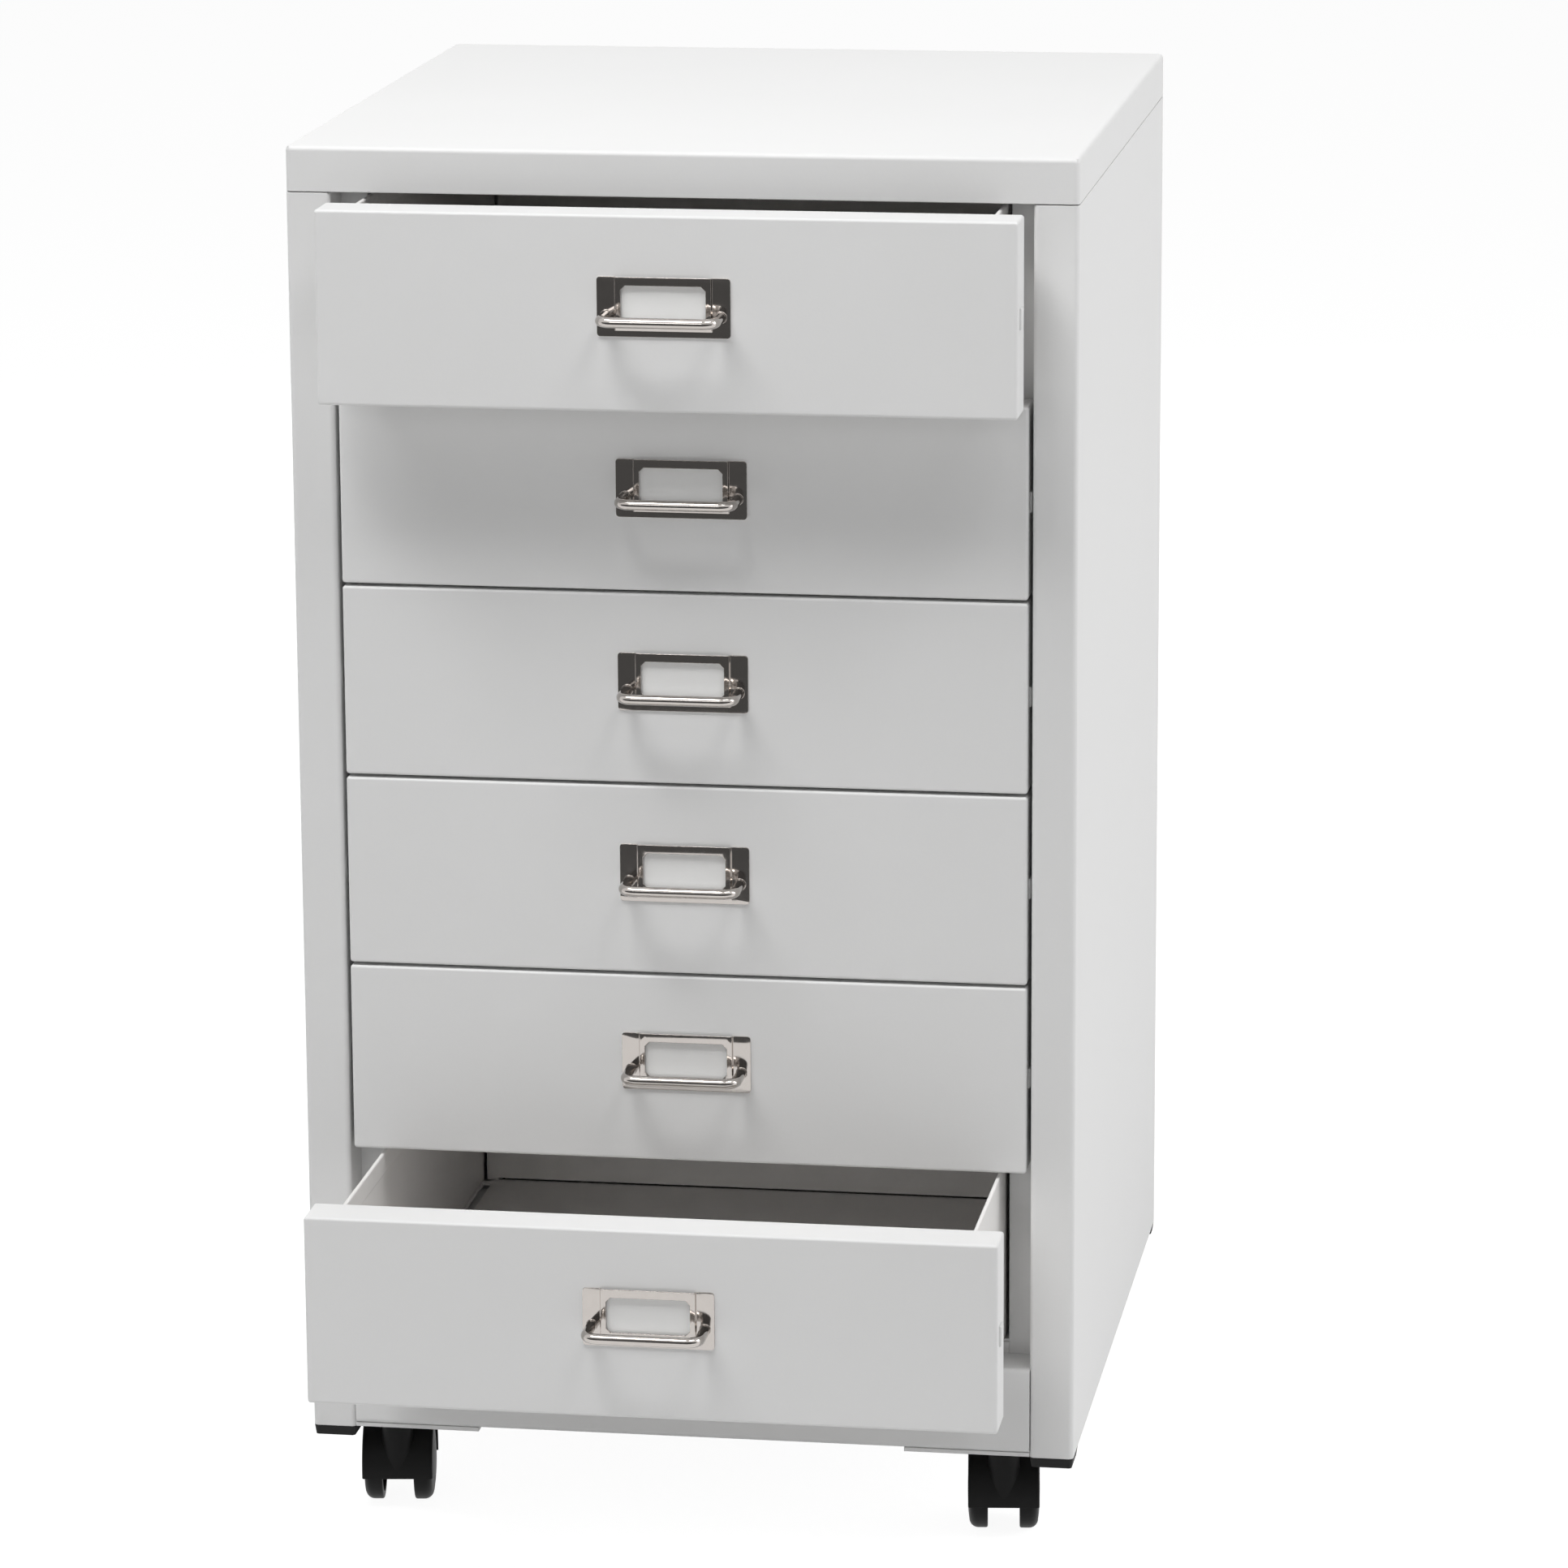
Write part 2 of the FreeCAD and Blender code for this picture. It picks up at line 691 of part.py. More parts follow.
def make_drawer_tray(body):
    """A folded tray with hemmed edges, open corners and a slit fold at the back, floor slots and stops."""
    sheet = s.TraySheet
    hem = tray_inside - sheet
    floor = s.TrayLift + sheet
    hem_foot = tray_top - s.HemHeight
    section = [
        (-tray_half, s.TrayLift), (tray_half, s.TrayLift),
        (tray_half, tray_top, s.HemRound), (hem, tray_top, s.HemRound),
        (hem, hem_foot), (tray_inside, hem_foot), (tray_inside, floor), (-tray_inside, floor),
        (-tray_inside, hem_foot), (-hem, hem_foot),
        (-hem, tray_top, s.HemRound), (-tray_half, tray_top, s.HemRound),
    ]
    pad(body, "XZ_Plane", s.FrontDepth, tray_back, [section])
    pad(body, "XZ_Plane", s.FrontDepth, s.FrontDepth + sheet,
        [rectangle(-tray_inside, floor, tray_inside, hem_foot)])
    back = tray_back - sheet
    back_half = hem - s.CornerGap
    back_wall = [
        (tray_back, floor), (tray_back, tray_top, s.HemRound), (back - sheet, tray_top, s.HemRound),
        (back - sheet, hem_foot), (back, hem_foot), (back, floor),
    ]
    pad(body, "YZ_Plane", -back_half, back_half, [back_wall])
    slit = back_half - s.FoldWeb
    pocket(body, "XZ_Plane", back, tray_back, [rectangle(-slit, floor, slit, floor + s.FoldSlit)])
    stop = flange_back + s.Travel + s.StopGap
    low = s.TrayLift + s.StopLift
    ears = [rectangle(sign * tray_inside, low, sign * (tray_half + s.StopReach), low + s.StopHeight)
            for sign in SIDES.values()]
    pad(body, "XZ_Plane", stop, stop + sheet, ears)
    cuts = []
    for sign in SIDES.values():
        edge = tray_inside - s.SlotInset
        slot_end = back - s.SlotSetback
        cuts.append(rectangle(sign * edge, slot_end - s.SlotLength, sign * (edge - s.SlotWidth), slot_end))
        cuts.append(rectangle(sign * tray_inside, tray_back - s.CornerRelief,
                              sign * (tray_inside - s.CornerRelief), tray_back))
    pocket(body, "XY_Plane", s.TrayLift, floor, cuts)


def window_outline(width, height, middle, cut):
    """A rectangle with cut corners, round a middle height."""
    x, z = width / 2, height / 2
    return [
        (cut - x, middle - z), (x - cut, middle - z), (x, middle - z + cut), (x, middle + z - cut),
        (x - cut, middle + z), (cut - x, middle + z), (-x, middle + z - cut), (-x, middle - z + cut),
    ]


def make_handle_plate(body):
    """A pressed label plate: flat ears for the bail, and a raised pocket with a window and a sloped foot."""
    face = -s.PlateSheet
    crest = face - s.PocketRaise
    edge = s.PlateWidth / 2
    pad(body, "XZ_Plane", face, 0,
        [rectangle(-edge, plate_top - s.PlateHeight, edge, plate_top, s.PlateRound)])
    half = s.PocketWidth / 2
    slope_top = pocket_low + s.PocketSlope
    raised = [(face, pocket_low), (crest, slope_top), (crest, plate_top), (face, plate_top)]
    pad(body, "YZ_Plane", -half, half, [raised])
    round_edges(body, s.PocketRound,
                lambda middle: near(middle.y, crest) and near(abs(middle.x), half))
    room = half - s.PlateSheet
    hollow = [(y + s.PlateSheet, z) for y, z in raised]
    pocket(body, "YZ_Plane", -room, room, [hollow])
    window = window_outline(s.WindowWidth, s.WindowHeight, plate_height + s.WindowRise, s.WindowCut)
    pocket(body, "XZ_Plane", crest, -s.PocketRaise, [window])
    tenon = s.RodDiameter / 2 + s.TenonFit
    pocket(body, "XZ_Plane", face, 0,
           rings=[(sign * s.LegSpacing / 2, leg_height, tenon) for sign in SIDES.values()])


def make_handle_bail(body):
    """A bent rod whose two legs go through the plate and the front to peened heads."""
    leg = s.LegSpacing / 2
    path = new_sketch(body, "XY_Plane", leg_height, path=[
        (-leg, s.FrontSheet), (-leg, -s.BailReach, s.BailBend),
        (leg, -s.BailReach, s.BailBend), (leg, s.FrontSheet)])
    rod = body.newObject("PartDesign::AdditivePipe", "Rod")
    rod.Profile = new_sketch(body, "XZ_Plane", s.FrontSheet, rings=[(-leg, leg_height, s.RodDiameter / 2)])
    doc.recompute()
    rod.Spine = (path, [f"Edge{n + 1}" for n in range(len(path.Geometry))])
    body.Tip = rod
    pad(body, "XZ_Plane", s.FrontSheet, s.FrontSheet + s.HeadHeight,
        rings=[(sign * leg, leg_height, s.HeadDiameter / 2) for sign in SIDES.values()])


def make_label_card(body):
    """A plain card that stands on the slope at the foot of the plate's pocket."""
    half = s.CardWidth / 2
    low = pocket_low + s.PocketSlope * s.CardSheet / s.PocketRaise
    pad(body, "XZ_Plane", -s.CardSheet, 0, [rectangle(-half, low, half, low + s.CardHeight)])


DRAWER_PIECES = {
    "front": make_drawer_front,
    "tray": make_drawer_tray,
    "handle_plate": make_handle_plate,
    "handle_bail": make_handle_bail,
    "label_card": make_label_card,
}


def make_drawers():
    openings = {1: s.OpenTop, DRAWERS: s.OpenBottom}
    for number in range(1, DRAWERS + 1):
        height = s.CasterHeight + lowest_front + (DRAWERS - number) * front_pitch
        for piece, make in DRAWER_PIECES.items():
            body = node(f"drawer_{number}_{piece}")
            make(body)
            place(body, 0, front_y - openings.get(number, 0), height)


# Casters: each is drawn round its own stem, on the floor, trailing towards +Y

def make_caster_housing(body):
    """A hood over both wheels, the web between them, the stem boss and the axle boss."""
    web = wheel_inner - s.WebGap
    hood_inside = wheel_radius * 2 + s.HoodGap
    hood_top = hood_inside + s.HoodWall
    outline = [
        (-web, wheel_radius), (-web, hood_inside), (-rim_side, hood_inside),
        (-rim_side, hood_top, s.HoodRound), (rim_side, hood_top, s.HoodRound),
        (rim_side, hood_inside), (web, hood_inside), (web, wheel_radius),
    ]
    revolve(body, "XZ_Plane", s.CasterTrail, outline,
            ((-web, wheel_radius), (web, wheel_radius)), s.HoodSweep)
    pad(body, "YZ_Plane", -web, web, rings=[(s.CasterTrail, wheel_radius, s.AxleBoss / 2)])
    pad(body, "XY_Plane", wheel_radius + s.BossLift, boss_top, rings=[(0, 0, s.BossDiameter / 2)])
    pocket(body, "XY_Plane", boss_top - s.StemLength - s.CollarGap, boss_top, rings=[(0, 0, bore_radius)])
    pocket(body, "YZ_Plane", -web, web, rings=[(s.CasterTrail, wheel_radius, axle_hole())])


def axle_hole():
    return s.AxleDiameter / 2 + s.AxleFit


def make_caster_axle(body):
    reach = wheel_outer - s.CapSheet - s.AxleGap
    pad(body, "YZ_Plane", -reach, reach, rings=[(s.CasterTrail, wheel_radius, s.AxleDiameter / 2)])


def make_caster_wheel(body, sign):
    """A wheel with a small inner shoulder, a large outer one and a domed face that closes the bore."""
    axis = wheel_radius
    tread = axis + wheel_radius
    bore = axis + axle_hole()
    cap = wheel_outer - s.CapSheet
    outline = [
        (wheel_inner, bore), (wheel_inner, tread, s.TreadRound), (rim_side, tread, s.ShoulderRound),
        (wheel_outer, axis + s.HubDiameter / 2), (wheel_outer, axis), (cap, axis), (cap, bore),
    ]
    revolve(body, "XZ_Plane", s.CasterTrail, [(sign * c[0],) + c[1:] for c in outline],
            ((0, axis), (wheel_outer, axis)))


def make_casters():
    headings = {"front_left": s.HeadingFrontLeft, "front_right": s.HeadingFrontRight}
    for corner, x, y in stem_points():
        pieces = {"housing": make_caster_housing, "axle": make_caster_axle,
                  "left_wheel": lambda body: make_caster_wheel(body, SIDES["left"]),
                  "right_wheel": lambda body: make_caster_wheel(body, SIDES["right"])}
        for piece, make in pieces.items():
            body = node(f"{corner}_caster_{piece}")
            make(body)
            place(body, x, front_y + y, 0, turn=headings.get(corner, s.HeadingRear))


def make_cabinet():
    make_top_panel()
    for side, sign in SIDES.items():
        make_side_panel(side, sign)
        make_runner_rails(side, sign)
    make_back_panel()
    make_front_rail()
    make_base_pan()
    make_caster_brackets()
    make_caster_stems()
    make_foot_caps()
    make_glide_buttons()


def check_document():
    """Stops if a feature failed, a cut removed nothing or a piece has no sound shape."""
    for thing in doc.Objects:
        if {"Invalid", "Error"} & set(thing.State):
            raise RuntimeError(f"{thing.Label} failed: {thing.State}")
        if thing.TypeId == "PartDesign::Pocket":
            if thing.Shape.Volume >= thing.BaseFeature.Shape.Volume - LEAST_CUT:
                raise RuntimeError(f"{thing.Label} cuts nothing")
    for piece in nodes:
        if piece.Shape.isNull() or not piece.Shape.isValid() or not piece.Shape.Solids:
            raise RuntimeError(f"{piece.Label} has no valid solid")


def write_parts():
    os.makedirs("parts", exist_ok=True)
    for piece in nodes:
        piece.Shape.exportStep(f"parts/{piece.Label}.step")
    print(len(nodes), "pieces,", sum(len(piece.Shape.Solids) for piece in nodes), "solids")


make_cabinet()
make_drawers()
make_casters()
doc.recompute()
check_document()
write_parts()
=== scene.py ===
# %% [markdown]
# # Dressing a mobile pedestal
#
# The cabinet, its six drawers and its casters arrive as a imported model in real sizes. This lesson
# gives them their finish: powder coat on folded steel, chrome on the pulls, black moulded plastic
# underneath. Small parts that catch the light, such as the pressed label plates and the wheels, are
# modelled again by hand, with the rounded edges that a press or a mould leaves.

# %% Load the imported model
import json
import math

import bpy
from mathutils import Matrix, Vector


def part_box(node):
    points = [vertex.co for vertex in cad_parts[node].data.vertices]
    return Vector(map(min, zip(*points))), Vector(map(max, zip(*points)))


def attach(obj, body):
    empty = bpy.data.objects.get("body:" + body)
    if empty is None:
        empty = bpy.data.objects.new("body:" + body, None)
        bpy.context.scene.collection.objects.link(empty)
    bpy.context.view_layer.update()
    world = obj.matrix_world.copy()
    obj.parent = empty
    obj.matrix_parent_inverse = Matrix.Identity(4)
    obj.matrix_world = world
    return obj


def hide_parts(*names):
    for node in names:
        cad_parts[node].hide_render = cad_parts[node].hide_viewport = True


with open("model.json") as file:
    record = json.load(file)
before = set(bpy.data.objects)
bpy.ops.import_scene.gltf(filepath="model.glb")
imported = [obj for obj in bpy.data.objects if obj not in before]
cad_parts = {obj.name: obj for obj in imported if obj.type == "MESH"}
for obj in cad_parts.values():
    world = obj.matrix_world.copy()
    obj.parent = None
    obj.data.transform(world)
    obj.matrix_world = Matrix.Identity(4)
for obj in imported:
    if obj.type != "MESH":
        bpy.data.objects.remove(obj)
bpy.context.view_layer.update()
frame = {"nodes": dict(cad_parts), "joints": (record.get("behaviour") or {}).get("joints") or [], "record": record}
nodes = frame["nodes"]
joints = {joint["name"]: joint for joint in frame["joints"]}
DRAWERS = range(1, 7)
CORNERS = ("front_left", "front_right", "rear_left", "rear_right")
MM = 0.001

# %% [markdown]
# ## The camera
#
# A photograph of a box gives its camera away: the corners fix where the lens stood and how long it
# was. Those numbers are used as they are. The lens is long, so the upright edges stay nearly
# parallel, and the camera stands to the right and looks down, so the lid and the right side show.

# %% Place the camera
LENS = 150.5
SENSOR = 36
CAMERA_AT = Vector((0.524, -3.160, 1.115))
CAMERA_YAW = math.radians(8.92)
CAMERA_PITCH = math.radians(13.39)
CAMERA_ROLL = math.radians(-0.31)

bpy.ops.object.select_all(action="DESELECT")
bpy.ops.object.camera_add()
camera = bpy.context.object
camera.name = "photo_camera"
camera.data.lens = LENS
camera.data.sensor_width = SENSOR
aim = Matrix.Rotation(CAMERA_YAW, 4, "Z") @ Matrix.Rotation(math.pi / 2 - CAMERA_PITCH, 4, "X")
camera.matrix_world = Matrix.Translation(CAMERA_AT) @ aim @ Matrix.Rotation(CAMERA_ROLL, 4, "Z")
scene = bpy.context.scene
scene.camera = camera
scene.view_settings.view_transform = "Standard"
print("camera at", [round(c, 3) for c in CAMERA_AT], "with a lens of", LENS, "mm")

# %% [markdown]
# ## Shader maths as Python
#
# A material is a graph of nodes, and a long graph is hard to read. Here a value in the graph is
# wrapped in a small class, so that `1 - mask * 0.3` writes its own Math nodes. Every other node
# comes from one method, which takes the node's type, its settings and what its sockets hold.


# %% A class for shader values
class Field:
    """A value in a node graph that Python's operators can work on."""

    def __init__(self, graph, socket):
        self.graph = graph
        self.socket = socket

    def math(self, operation, first, second):
        return self.graph.node("ShaderNodeMath", {"operation": operation}, {0: first, 1: second})

    def __add__(self, other):
        return self.math("ADD", self, other)

    def __radd__(self, other):
        return self.math("ADD", other, self)

    def __sub__(self, other):
        return self.math("SUBTRACT", self, other)

    def __rsub__(self, other):
        return self.math("SUBTRACT", other, self)

    def __mul__(self, other):
        return self.math("MULTIPLY", self, other)

    def __rmul__(self, other):
        return self.math("MULTIPLY", other, self)


class Graph:
    """The nodes of one material or world."""

    def __init__(self, owner):
        owner.use_nodes = True
        self.owner = owner
        self.tree = owner.node_tree
        self.tree.nodes.clear()

    def node(self, kind, settings=None, sockets=None, output=0):
        made = self.tree.nodes.new(kind)
        for key, value in (settings or {}).items():
            setattr(made, key, value)
        for key, value in (sockets or {}).items():
            if isinstance(value, Field):
                self.tree.links.new(value.socket, made.inputs[key])
            else:
                made.inputs[key].default_value = value
        return Field(self, made.outputs[output])

    def blend(self, share, first, second):
        """A colour between two colours."""
        return self.node("ShaderNodeMix", {"data_type": "RGBA"}, {0: share, 6: first, 7: second}, 2)

    def noise(self, scale, detail=2.0, stretch=(1, 1, 1)):
        """Cloudy noise whose lumps are about one metre divided by the scale."""
        spot = self.node("ShaderNodeTexCoord", output="Object")
        spot = self.node("ShaderNodeMapping", sockets={"Vector": spot, "Scale": stretch})
        sockets = {"Vector": spot, "Scale": scale, "Detail": detail}
        return self.node("ShaderNodeTexNoise", sockets=sockets)

    def soft_edge(self, radius):
        """The surface's normal with its sharp edges rounded off."""
        return self.node("ShaderNodeBevel", {"samples": 6}, {"Radius": radius})

    def edge_mask(self, soft):
        """1 on sharp edges and 0 on flat faces."""
        straight = self.node("ShaderNodeNewGeometry", output="Normal")
        same = self.node(
            "ShaderNodeVectorMath", {"operation": "DOT_PRODUCT"}, {0: soft, 1: straight}, "Value")
        return 1 - same

    def bump(self, height, depth, normal=None):
        """Raises the surface by up to depth metres where height is 1."""
        sockets = {"Height": height, "Strength": 1.0, "Distance": depth}
        if normal:
            sockets["Normal"] = normal
        return self.node("ShaderNodeBump", sockets=sockets)

    def end(self, kind, surface):
        """Links a shader to the graph's output node."""
        self.tree.links.new(surface.socket, self.tree.nodes.new(kind).inputs["Surface"])
        return self.owner

    def finish(self, sockets):
        """Ends a material in one Principled shader."""
        shader = self.node("ShaderNodeBsdfPrincipled", sockets=sockets)
        return self.end("ShaderNodeOutputMaterial", shader)


def new_material(name):
    return Graph(bpy.data.materials.new(name))


def grey(level):
    return (level, level, level, 1.0)


print("shader values are ready")

# %% [markdown]
# ## Powder coat
#
# The cabinet and the drawers are sheet steel with a satin white powder coat. Baked powder never lies
# quite flat: it has a fine orange peel, which breaks up the reflections. Its sharp edges get a painted
# highlight, a lighter tone, and a large sheet is faintly uneven in tone. All three are small, and together
# they are what tells paint from plain white. The trays get a lighter, warmer copy of the coat: painted light that
# lifts the shade inside them and gives that shade a warm tint.

# %% Make the powder coats
PAINT_EDGE = 0.7 * MM
PEEL_DEPTH = 0.035 * MM
EDGE_HIGHLIGHT_TONE = (0.88, 0.88, 0.875, 1)


def powder_coat(name, dull, clear):
    coat = new_material(name)
    soft = coat.soft_edge(PAINT_EDGE)
    edge = coat.edge_mask(soft)
    cloud = coat.noise(7.0, 3.0)
    peel = coat.noise(620.0, 2.0)
    grain = coat.noise(2600.0, 1.0)
    tone = coat.blend(cloud, dull, clear)
    # The sharp edges are blended towards a lighter tone: a painted highlight.
    tone = coat.blend(edge * 0.6, tone, EDGE_HIGHLIGHT_TONE)
    return coat.finish({
        "Base Color": tone,
        "Roughness": 0.36 + cloud * 0.1 + grain * 0.06,
        "Normal": coat.bump(peel * 0.8 + grain * 0.2, PEEL_DEPTH, soft),
        "IOR": 1.5,
    })


white_paint = powder_coat("white_powder_coat", (0.800, 0.800, 0.796, 1), (0.838, 0.838, 0.836, 1))
# The trays' coat is lighter and warmer than the outside one: painted light that lifts the shade inside the trays,
# with a warm tint.
tray_lightened_coat = powder_coat("tray_lightened_powder_coat", (0.862, 0.846, 0.830, 1), (0.890, 0.874, 0.858, 1))
print("made", white_paint.name, "and", tray_lightened_coat.name)

# %% [markdown]
# ## Chrome
#
# Plated steel is nearly a mirror, so it looks like whatever stands around it. The plates are thin and
# pressed, so their faces are a little wavy, and fingers leave a faint haze. Both go into the bump and
# the roughness. The plating in the photograph is a shade warmer than plain chromium, and so is this.

# %% Make the chrome
CHROME_DULL = (0.46, 0.43, 0.407, 1)
CHROME_CLEAR = (0.51, 0.477, 0.451, 1)
FINE_EDGE = 0.3 * MM
WAVE_DEPTH = 0.006 * MM


def chrome_plate():
    plate = new_material("bright_chrome")
    soft = plate.soft_edge(FINE_EDGE)
    wave = plate.noise(55.0, 1.0)
    haze = plate.noise(240.0, 4.0)
    tone = plate.blend(haze, CHROME_DULL, CHROME_CLEAR)
    return plate.finish({
        "Base Color": tone,
        "Metallic": 1.0,
        "Roughness": 0.05 + haze * 0.06,
        "Normal": plate.bump(wave, WAVE_DEPTH, soft),
    })


chrome = chrome_plate()
print("made", chrome.name)

# %% [markdown]
# ## Black plastic, card, zinc and nylon
#
# The casters and the foot caps are moulded in black plastic with a fine spark-eroded texture. The
# label cards are plain paper with a fibrous surface. Stems and axles are zinc plated steel, and the
# small glides that the trays run on are natural nylon.

# %% Make the smaller finishes
PLASTIC_EDGE = 0.5 * MM
TEXTURE_DEPTH = 0.03 * MM
PAPER_DULL = (0.87, 0.87, 0.86, 1)
PAPER_CLEAR = (0.93, 0.93, 0.92, 1)
FIBRE_DEPTH = 0.02 * MM
ZINC_DULL = (0.50, 0.50, 0.49, 1)
ZINC_CLEAR = (0.66, 0.66, 0.65, 1)
BRUSH_DEPTH = 0.01 * MM
NYLON_DULL = (0.76, 0.75, 0.71, 1)
NYLON_CLEAR = (0.84, 0.83, 0.80, 1)
NYLON_DEPTH = 0.02 * MM


def moulded_plastic(name, dark, light, rough, shine):
    plastic = new_material(name)
    soft = plastic.soft_edge(PLASTIC_EDGE)
    edge = plastic.edge_mask(soft)
    texture = plastic.noise(3200.0, 2.0)
    dust = plastic.noise(38.0, 5.0)
    tone = plastic.blend(dust, grey(dark), grey(light))
    # The edges are blended towards a lighter grey: a painted highlight.
    tone = plastic.blend(edge * 0.5, tone, grey(light * 1.6))
    return plastic.finish({
        "Base Color": tone,
        "Roughness": rough + dust * 0.12,
        "Specular IOR Level": shine,
        "Normal": plastic.bump(texture, TEXTURE_DEPTH, soft),
    })


def paper_card():
    card = new_material("label_paper")
    fibre = card.noise(900.0, 4.0, (1.0, 1.0, 2.2))
    cloud = card.noise(60.0, 2.0)
    tone = card.blend(fibre * 0.6 + cloud * 0.4, PAPER_DULL, PAPER_CLEAR)
    return card.finish({
        "Base Color": tone,
        "Roughness": 0.85 + fibre * 0.1,
        "Normal": card.bump(fibre, FIBRE_DEPTH),
    })


def zinc_plate():
    zinc = new_material("bright_zinc")
    spangle = zinc.noise(420.0, 3.0)
    brushed = zinc.noise(900.0, 2.0, (1.0, 1.0, 0.05))
    tone = zinc.blend(spangle, ZINC_DULL, ZINC_CLEAR)
    return zinc.finish({
        "Base Color": tone,
        "Metallic": 1.0,
        "Roughness": 0.26 + brushed * 0.14,
        "Normal": zinc.bump(brushed, BRUSH_DEPTH, zinc.soft_edge(FINE_EDGE)),
    })


def natural_nylon():
    nylon = new_material("natural_nylon")
    cloud = nylon.noise(150.0, 2.0)
    tone = nylon.blend(cloud, NYLON_DULL, NYLON_CLEAR)
    return nylon.finish({
        "Base Color": tone,
        "Roughness": 0.38 + cloud * 0.12,
        "Normal": nylon.bump(cloud, NYLON_DEPTH, nylon.soft_edge(FINE_EDGE)),
    })


caster_plastic = moulded_plastic("caster_plastic", 0.006, 0.011, 0.42, 0.14)
cap_plastic = moulded_plastic("foot_cap_plastic", 0.014, 0.022, 0.55, 0.2)
card_paper = paper_card()
zinc = zinc_plate()
nylon = natural_nylon()
print("made", [m.name for m in (caster_plastic, cap_plastic, card_paper, zinc, nylon)])

# %% [markdown]
# ## Finish every imported piece
#
# The record names a material slot for each piece. The finish follows that slot, with two exceptions.
# The foot caps are a greyer plastic than the casters, though both share the black slot, and the trays
# get a lighter, warmer copy of the coat on the fronts and the cabinet: painted light for their shaded insides.

# %% Give each piece its finish
SLOT_FINISH = {
    "white_paint": white_paint,
    "chrome": chrome,
    "card": card_paper,
    "black_plastic": caster_plastic,
    "zinc_steel": zinc,
    "nylon": nylon,
}


def dress(piece, finish):
    piece.data.materials.clear()
    piece.data.materials.append(finish)


for subpart in frame["record"]["subparts"]:
    dress(nodes[subpart["node"]], SLOT_FINISH[subpart["material_slot"]])
dress(nodes["foot_caps"], cap_plastic)
# The trays get the lighter coat, painted light for their shaded insides.
for n in DRAWERS:
    dress(nodes[f"drawer_{n}_tray"], tray_lightened_coat)
print("dressed", len(nodes), "pieces")

# %% [markdown]
# ## Modelling by hand
#
# The pieces that follow are made the way a person would make them in Blender: a primitive, then edit
# mode. Someone at the screen clicks on a face. A script has to say which face it means, so one helper
# selects faces, edges or corners by where they lie. Another copies a finished model to its place,
# and a third gives the copy its finish, parents it to its body and hides the imported piece it stands in for.

# %% Helpers for modelling
HAIR = 0.02 * MM
SMOOTH_ANGLE = math.radians(35)


def alone():
    """Deselects every object, so that an operator works on the new one only."""
    bpy.ops.object.select_all(action="DESELECT")


def choose(piece, kind, wanted):
    """Selects the faces, edges or corners that lie where they are wanted, and stays in edit mode."""
    bpy.ops.object.mode_set(mode="EDIT")
    bpy.ops.mesh.select_mode(type=kind)
    bpy.ops.mesh.select_all(action="DESELECT")
    bpy.ops.object.mode_set(mode="OBJECT")
    mesh = piece.data
    if kind == "VERT":
        for corner in mesh.vertices:
            corner.select = wanted(corner.co)
    elif kind == "EDGE":
        for edge in mesh.edges:
            first, second = (mesh.vertices[index].co for index in edge.vertices)
            edge.select = wanted((first + second) / 2)
    else:
        for face in mesh.polygons:
            face.select = wanted(face.center)
    bpy.ops.object.mode_set(mode="EDIT")


def modify(piece, kind, **settings):
    """Adds a modifier and applies it."""
    modifier = piece.modifiers.new(kind.lower(), kind)
    for key, value in settings.items():
        setattr(modifier, key, value)
    bpy.ops.object.modifier_apply(modifier=modifier.name)


def soften(piece, width, segments, angle=SMOOTH_ANGLE):
    """Rounds the edges that are sharper than an angle and smooths the rest of the shading."""
    bpy.ops.object.mode_set(mode="OBJECT")
    modify(piece, "BEVEL", width=width, segments=segments, limit_method="ANGLE", angle_limit=angle)
    bpy.ops.object.shade_smooth_by_angle(angle=angle)


def copy_to(model, name, move):
    """A copy of a model with a mesh of its own, moved to its place."""
    piece = model.copy()
    piece.data = model.data.copy()
    piece.data.transform(move)
    piece.name = name
    scene.collection.objects.link(piece)
    return piece


def merge(pieces, name):
    """Joins copies that belong together into one piece."""
    alone()
    for piece in pieces:
        piece.select_set(True)
    bpy.context.view_layer.objects.active = pieces[0]
    bpy.ops.object.join()
    pieces[0].name = name
    return pieces[0]


def hand_in(piece, body, slot, finish, *replaced):
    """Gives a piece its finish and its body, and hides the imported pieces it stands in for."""
    dress(piece, finish)
    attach(piece, body)
    if replaced:
        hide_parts(*replaced)


def put_away(model):
    bpy.data.objects.remove(model)


UPRIGHT = Matrix.Rotation(math.pi / 2, 4, "X")
print("modelling helpers are ready")

# %% [markdown]
# ## The label plate
#
# Each pull is a pressed plate with a pocket for a label. The press raises the middle of the sheet over
# a short flank on three sides and leaves the top open, so a card slides in from above. A window with
# cut corners is stamped through it. Here a plane is cut along those lines, the middle is raised, the
# window is taken out, and only then does the sheet get its thickness. That keeps the wall even, as in
# a real pressing.

# %% Press the label plates
PLATE_SHEET = 0.8 * MM
PLATE_CORNER = 1.6 * MM
POCKET_RAISE = 1.4 * MM
POCKET_FLANK = 0.5 * MM
FOOT_FLANK = 2.3 * MM
POCKET_HALF = 23.2 * MM
POCKET_FOOT = 2.9 * MM
WINDOW_HALF = 20.2 * MM
WINDOW_HEIGHT = 17.4 * MM
WINDOW_RISE = 1.5 * MM
WINDOW_CUT = 2.2 * MM
PLATE_EDGE = 0.14 * MM
PLATE_ANGLE = math.radians(18)


